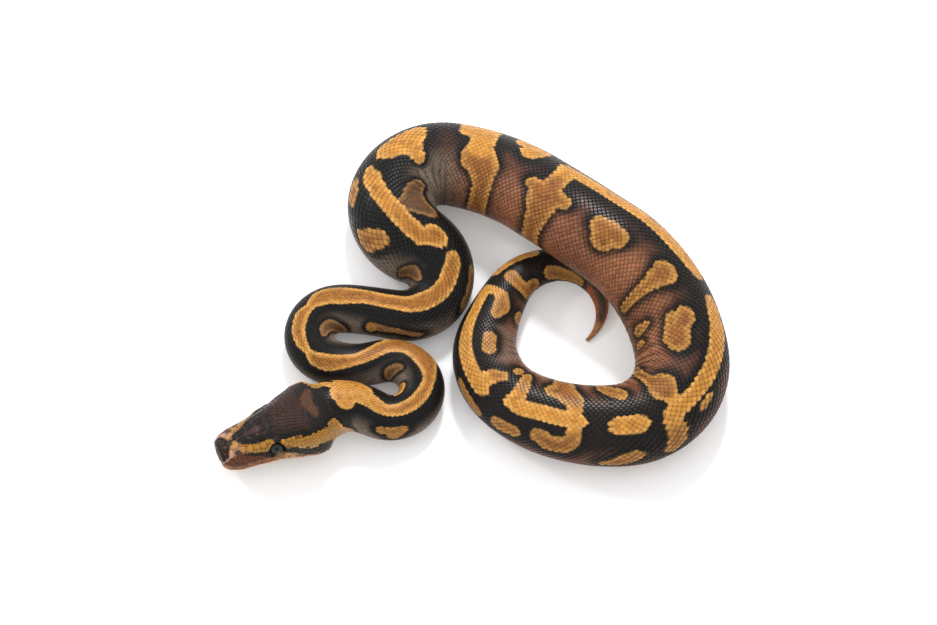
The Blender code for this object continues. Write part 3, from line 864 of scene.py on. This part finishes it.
EYE_RING_SCALES = 12
PLATE_CORNERS = 16
PLATE_RINGS = ((0.45, 1.0), (0.88, 0.95), (0.985, 0.6), (1.0, -0.6))
PLATE_ANGLES = 2 * math.pi * np.arange(PLATE_CORNERS) / PLATE_CORNERS
PLATE_SEAM = 0.035              # half the gap between two plates


def head_seeds(grid, places, ways):
    """Middle points of the head's scales: point, reach, dip of the middle, back, way."""
    seeds = []
    backs = places[:, 0] + HEAD_LENGTH

    def nearest_row(back):
        return int(np.argmin(np.abs(backs - back)))

    def at(back, way):
        row = nearest_row(back)
        order = np.argsort(-ways[row])
        return np.array([np.interp(way, -ways[row][order], grid[row][order, k])
                         for k in range(3)])

    def add(back, way, reach, dip=0.0):
        seeds.append((at(back, way), reach, dip, back, way))

    def add_shields(side):
        for back, way, reach in SHIELDS:
            if way > 0 or side > 0:
                add(back, side * way + float(middle_way(back)), reach)
        back, way, reach, dip = NOSTRIL
        add(back, side * way + float(middle_way(back)), reach, dip)

    def add_labials(side):
        for k in range(UPPER_LABIALS):
            back = 1.5 + 21.0 * (k / (UPPER_LABIALS - 1)) ** 1.03
            reach = 0.95 if back < 13 else 0.85
            add(back, side * (float(lip_way(back)) - 1.05), reach, PIT_DEPTH if 0 < k < 5 else 0.0)
        for k in range(LOWER_LABIALS):
            back = 1.3 + 21.0 * k / (LOWER_LABIALS - 1)
            add(back, side * (float(lip_way(back)) + 0.85), 0.75)

    def add_eye_ring(side):
        for k in range(EYE_RING_SCALES):
            angle = 2 * math.pi * (k + 0.5) / EYE_RING_SCALES
            back = EYE_AT[0] + 2.55 * math.cos(angle)
            spot = head_point(back, side * 6.6, EYE_AT[2] + 2.45 * math.sin(angle))
            row = nearest_row(back)
            corner = int(np.linalg.norm(grid[row] - spot, axis=1).argmin())
            seeds.append((grid[row][corner], 0.5, 0.0, backs[row], -ways[row][corner]))

    def fill():
        """Small scales in even rows wherever no larger plate or eye lies."""
        fixed = np.array([seed[0] for seed in seeds])
        reaches = np.array([seed[1] for seed in seeds])
        eyes = np.array([head_point(EYE_AT[0], side * 7.0, EYE_AT[2]) for side in (1, -1)])
        back, line = 0.9, 0
        while back < HEAD_LENGTH - 0.5:
            step = 1.15 - 0.42 * float(smooth(15, 28, back))
            half = np.abs(ways[nearest_row(back)]).max()
            count = int(half / (0.92 * step))
            for k in range(-count, count + 1):
                way = (k + 0.5 * (line % 2)) * half / count
                point = at(back, way)
                clear = (np.linalg.norm(fixed - point, axis=1) - reaches).min()
                if clear >= 0.40 * step and np.linalg.norm(eyes - point, axis=1).min() >= 2.1:
                    seeds.append((point, 0.46 * step, 0.0, back, way))
            back += 0.86 * step
            line += 1

    back, up, reach = NOSE_TIP
    seeds.append((head_point(back, 0.0, up), reach, 0.0, back, 0.0))
    for side in (1, -1):
        add_shields(side)
        add_labials(side)
        add_eye_ring(side)
    fill()
    return seeds


def plate_axes(normal, outward):
    """The normal, turned to point outward, and two directions that lie flat on the plate."""
    if normal @ outward < 0:
        normal = -normal
    first = np.cross(normal, (0.0, 0.0, 1.0))
    if np.linalg.norm(first) < 0.3:
        first = np.cross(normal, (math.sin(START_HEADING), -math.cos(START_HEADING), 0.0))
    first /= np.linalg.norm(first)
    return normal, first, np.cross(normal, first)


def plate_outline(middle, reach, middles, reaches, first, second):
    """How far a plate reaches in each direction before it meets its neighbours."""
    offsets = middles - middle
    gaps = np.linalg.norm(offsets, axis=1)
    close = (gaps > 1e-6) & (gaps < 4.6)
    offsets, gaps = offsets[close], gaps[close]
    share = (gaps ** 2 + reach ** 2 - reaches[close] ** 2) / (2 * gaps) - PLATE_SEAM
    x, y = offsets @ first, offsets @ second
    angle = PLATE_ANGLES[:, None]
    facing = (np.cos(angle) * x + np.sin(angle) * y) / np.maximum(np.hypot(x, y), 1e-6)
    pull = np.maximum(facing, 0) / np.maximum(share, 0.12)
    return 1 / np.maximum((pull ** 14).sum(axis=1) ** (1 / 14), 1 / (1.9 * reach + 0.3))


def plate_shape(outline, reach, dip):
    """A plate's corners in its own plane, their rise, and the painted shade of each: darker at the
    rim, darkest in the hollow of a pit or nostril.
    """
    thick = 0.10 + 0.02 * min(reach, 1.2)
    corners = [(0.0, 0.0, thick * 1.03 - dip)]
    # painted shade: the middle and inner ring of each pit and nostril are darkened as shade in the
    # hollow, and every plate's outer rings as shade between plates
    shades = [0.22 if dip else 1.0]
    for share, height in PLATE_RINGS:
        hollow = dip > 0 and share < 0.5
        for size, angle in zip(outline, PLATE_ANGLES):
            corners.append((share * size * math.cos(angle), share * size * math.sin(angle),
                            thick * height - 0.75 * dip * hollow))
            shades.append(0.35 if hollow else (1.0 if share < 0.9 else 0.72))
    return np.array(corners), np.array(shades)


def make_head_scales(skin_grid, places, ways, look):
    """Shields, labials and small scales, each grown until it meets its neighbours."""
    faces = ring_faces(len(places), SKIN_RING)
    surface = BVHTree.FromPolygons(skin_grid.reshape(-1, 3).tolist(), faces.tolist())
    seeds = head_seeds(skin_grid, places, ways)
    middles = np.array([seed[0] for seed in seeds])
    reaches = np.array([seed[1] for seed in seeds])
    nape = head_point(30.0, 0.0, 7.5)
    snout = head_point(0.0, 0.0, 7.5)
    flat_backs, flat_ways = places.ravel() + HEAD_LENGTH, -ways.ravel()
    upper, lower = [], []
    for number, (middle, reach, dip, back, way) in enumerate(seeds):
        spine = snout + (nape - snout) * back / 30.0
        lean = np.array(surface.find_nearest(Vector(middle))[1])
        normal, first, second = plate_axes(lean, middle - spine)
        outline = plate_outline(middle, reach, middles, reaches, first, second)
        corners, shades = plate_shape(outline, reach, dip)
        points, spots = [], []
        for x, y, rise in corners:
            found, lean, face, _ = surface.find_nearest(Vector(middle + x * first + y * second))
            lean = np.array(lean)
            lean = lean if lean @ normal > 0 else -lean
            points.append(np.array(found) + lean * rise)
            # a face's number is that of its first corner; the smallest scales have one colour
            own = reach > 0.6 or back < 15
            spots.append((flat_backs[face], flat_ways[face]) if own else (back, way))
        # the head's markings, darkened by the painted shade from plate_shape
        paint = head_markings(*np.array(spots).T) * shades[:, None]
        paint = paint * (0.90 + 0.2 * float(scatter(number)))
        root = np.array((back / 31 * 0.94 + 0.03, 0.5 + way / 34 * 0.9))
        uvs = root + PATCH * reach * corners[:, :2] / max(outline.max(), 0.1)
        under_lip = abs(way) > float(lip_way(back)) and back < JAW_END
        (lower if under_lip else upper).append((points, uvs, paint))
    for name, slot, plates in (("head_scales", "head_skin", upper),
                               ("jaw_scales", "jaw_skin", lower)):
        points, uvs, paint = (np.concatenate(column) for column in zip(*plates))
        faces = plate_faces(PLATE_CORNERS, len(PLATE_RINGS), len(plates))
        build(name, look, points, faces, uvs, paint)


# ---- eyes --------------------------------------------------------------------------

def make_eye(name, side, look):
    """A clear-capped eye with a slate iris and an upright pupil."""
    rings, around = 38, 56
    centre = head_point(EYE_AT[0], side * EYE_AT[1], EYE_AT[2])
    outward = head_point(EYE_AT[0] - 0.2, side * (EYE_AT[1] + 1.0), EYE_AT[2] + 0.2) - centre
    outward /= np.linalg.norm(outward)
    upright = np.array((0.0, 0.0, 1.0)) - outward[2] * outward
    upright /= np.linalg.norm(upright)
    ahead = np.cross(outward, upright)
    tilt = np.linspace(0, math.pi, rings + 2)[1:-1, None]
    turn = np.linspace(0, 2 * math.pi, around + 1)[None, :-1]
    local = np.stack((np.cos(tilt) + 0 * turn, np.sin(tilt) * np.cos(turn),
                      np.sin(tilt) * np.sin(turn)), axis=-1).reshape(-1, 3)
    local = np.concatenate((local, [(1.0, 0.0, 0.0), (-1.0, 0.0, 0.0)]))
    points = centre + local * EYE_SIZE @ np.array((outward, upright, ahead))
    out, high, fore = local.T
    spread = np.hypot(high, fore)
    rays = 0.5 + 0.5 * np.sin(np.arctan2(high, fore) * 23)
    colour = mix(IRIS, IRIS_RAY, rays * smooth(0.3, 0.8, spread))
    colour = mix(colour, IRIS_EDGE, smooth(0.66, 0.86, spread))
    colour = mix(colour, PUPIL, smooth(1.15, 0.9, np.hypot(high / 0.50, fore / 0.26)))
    front, last = np.arange(around), np.arange(around) + (rings - 1) * around
    caps = (fan(rings * around, front), fan(rings * around + 1, last)[:, (0, 2, 1)])
    uvs = np.where(out[:, None] < 0, (0.75, 0.5), (0.25, 0.5)) + local[:, 1:] * 0.24
    faces = (ring_faces(rings, around), np.concatenate(caps))
    eye = build(name + "_ball", look, points, faces, uvs, colour)
    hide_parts(name)


# ---- materials ---------------------------------------------------------------------

def node(tree, kind, **values):
    """A new node with its inputs set; an input's name has _ for each space."""
    made = tree.nodes.new(kind)
    for name, value in values.items():
        made.inputs[name.replace("_", " ")].default_value = value
    return made


def carried(tree, source, from_low, from_high, to_low, to_high):
    """An output that carries one range of a value over to another."""
    made = node(tree, "ShaderNodeMapRange", From_Min=from_low, From_Max=from_high,
                To_Min=to_low, To_Max=to_high)
    tree.links.new(source, made.inputs["Value"])
    return made.outputs["Result"]


def skin_material(name, grain, gloss):
    """Marked skin: the painted marking varied by noise, with fine grain and uneven gloss."""
    material = bpy.data.materials.new(name)
    material.use_nodes = True
    tree = material.node_tree
    link = tree.links.new
    shader = tree.nodes["Principled BSDF"]
    shader.inputs["Specular IOR Level"].default_value = 0.15
    marking = tree.nodes.new("ShaderNodeVertexColor")
    marking.layer_name = "marking"
    mottle = node(tree, "ShaderNodeTexNoise", Scale=1500.0, Detail=4.0, Roughness=0.6)
    patches = node(tree, "ShaderNodeTexNoise", Scale=260.0, Detail=2.0)
    fine = node(tree, "ShaderNodeTexNoise", Scale=grain, Detail=3.0)
    place = tree.nodes.new("ShaderNodeTexCoord")
    for noise in (mottle, patches, fine):
        link(place.outputs["Object"], noise.inputs["Vector"])
    both = tree.nodes.new("ShaderNodeMath")
    both.operation = "MULTIPLY"
    link(carried(tree, mottle.outputs["Fac"], 0.3, 0.7, 0.65, 0.85), both.inputs[0])
    link(carried(tree, patches.outputs["Fac"], 0.3, 0.7, 0.94, 1.06), both.inputs[1])
    colour = tree.nodes.new("ShaderNodeVectorMath")
    colour.operation = "SCALE"
    link(marking.outputs["Color"], colour.inputs[0])
    link(both.outputs["Value"], colour.inputs["Scale"])
    link(colour.outputs["Vector"], shader.inputs["Base Color"])
    shine = carried(tree, mottle.outputs["Fac"], 0.25, 0.75, gloss - 0.07, gloss + 0.10)
    link(shine, shader.inputs["Roughness"])
    bump = node(tree, "ShaderNodeBump", Strength=0.25, Distance=0.00004)
    link(fine.outputs["Fac"], bump.inputs["Height"])
    link(bump.outputs["Normal"], shader.inputs["Normal"])
    return material


def eye_material():
    """Wet, clear-coated eye with a faint grain in the iris."""
    material = skin_material("eye_clear", 3000.0, 0.18)
    shader = material.node_tree.nodes["Principled BSDF"]
    shader.inputs["Coat Weight"].default_value = 0.15
    shader.inputs["Coat Roughness"].default_value = 0.03
    return material


def floor_material():
    """Matt, nearly white paper."""
    material = bpy.data.materials.new("studio_floor")
    material.use_nodes = True
    shader = material.node_tree.nodes["Principled BSDF"]
    shader.inputs["Base Color"].default_value = (0.93, 0.93, 0.935, 1)
    shader.inputs["Roughness"].default_value = 0.75
    shader.inputs["Specular IOR Level"].default_value = 0.15
    shader.inputs["Emission Color"].default_value = (1, 1, 1, 1)
    shader.inputs["Emission Strength"].default_value = 0.10
    return material


# ---- studio, in metres -------------------------------------------------------------
FLOOR_HALF = 3.0
WORLD_LIGHT = 1.10
LAMPS = (                       # name, place, size, watts
    ("over", (0.05, 0.42, 0.50), 0.09, 2.8),
    ("left", (-0.50, 0.25, 0.40), 0.09, 0.95),
)
VIEW_HEIGHT = math.radians(63)  # the camera looks down at this angle
VIEW_DISTANCE = 0.6767


def aim(thing, place, direction):
    """Put a lamp or camera in its place, looking in a direction, and into the scene."""
    thing.location = place
    thing.rotation_mode = "QUATERNION"
    thing.rotation_quaternion = direction.to_track_quat("-Z", "Y")
    bpy.context.scene.collection.objects.link(thing)


def make_studio():
    """Pale floor, even light with two soft lamps, and the camera."""
    scene = bpy.context.scene
    mesh = bpy.data.meshes.new("floor")
    corners = [(x * FLOOR_HALF, y * FLOOR_HALF, 0) for x, y in ((-1, -1), (1, -1), (1, 1), (-1, 1))]
    mesh.from_pydata(corners, [], [(0, 1, 2, 3)])
    mesh.materials.append(floor_material())
    floor = bpy.data.objects.new("floor", mesh)
    scene.collection.objects.link(floor)

    world = bpy.data.worlds.new("studio")
    world.use_nodes = True
    sky = world.node_tree.nodes["Background"]
    sky.inputs["Color"].default_value = (1, 1, 1, 1)
    sky.inputs["Strength"].default_value = WORLD_LIGHT
    scene.world = world
    for name, place, width, watts in LAMPS:
        data = bpy.data.lights.new(name, "AREA")
        data.shape = "SQUARE"
        data.size = width
        data.energy = watts
        aim(bpy.data.objects.new(name, data), place, -Vector(place))

    data = bpy.data.cameras.new("camera")
    data.lens = 100
    data.sensor_width = 36
    data.clip_start = 0.01
    data.clip_end = 20
    camera = bpy.data.objects.new("camera", data)
    target = Vector((-CENTRE[0] * MM, -CENTRE[1] * MM, 0))
    forward = Vector((0, math.cos(VIEW_HEIGHT), -math.sin(VIEW_HEIGHT)))
    aim(camera, target - forward * VIEW_DISTANCE, forward)
    scene.camera = camera
    scene.view_settings.view_transform = "Standard"


skin_look = skin_material("under_skin", 6000.0, 0.50)
scale_look = skin_material("scales", 7000.0, 0.29)
eye_look = eye_material()
head_grid, head_places, head_ways = make_skin(skin_look)
start = 0.0
for piece_name, end, columns, slot_name in COAT_PIECES:
    make_scales(piece_name, start, end, columns, scale_look)
    start = end
make_belly(scale_look)
make_head_scales(head_grid, head_places, head_ways, scale_look)
make_eye("eye_left", 1, eye_look)
make_eye("eye_right", -1, eye_look)
make_studio()
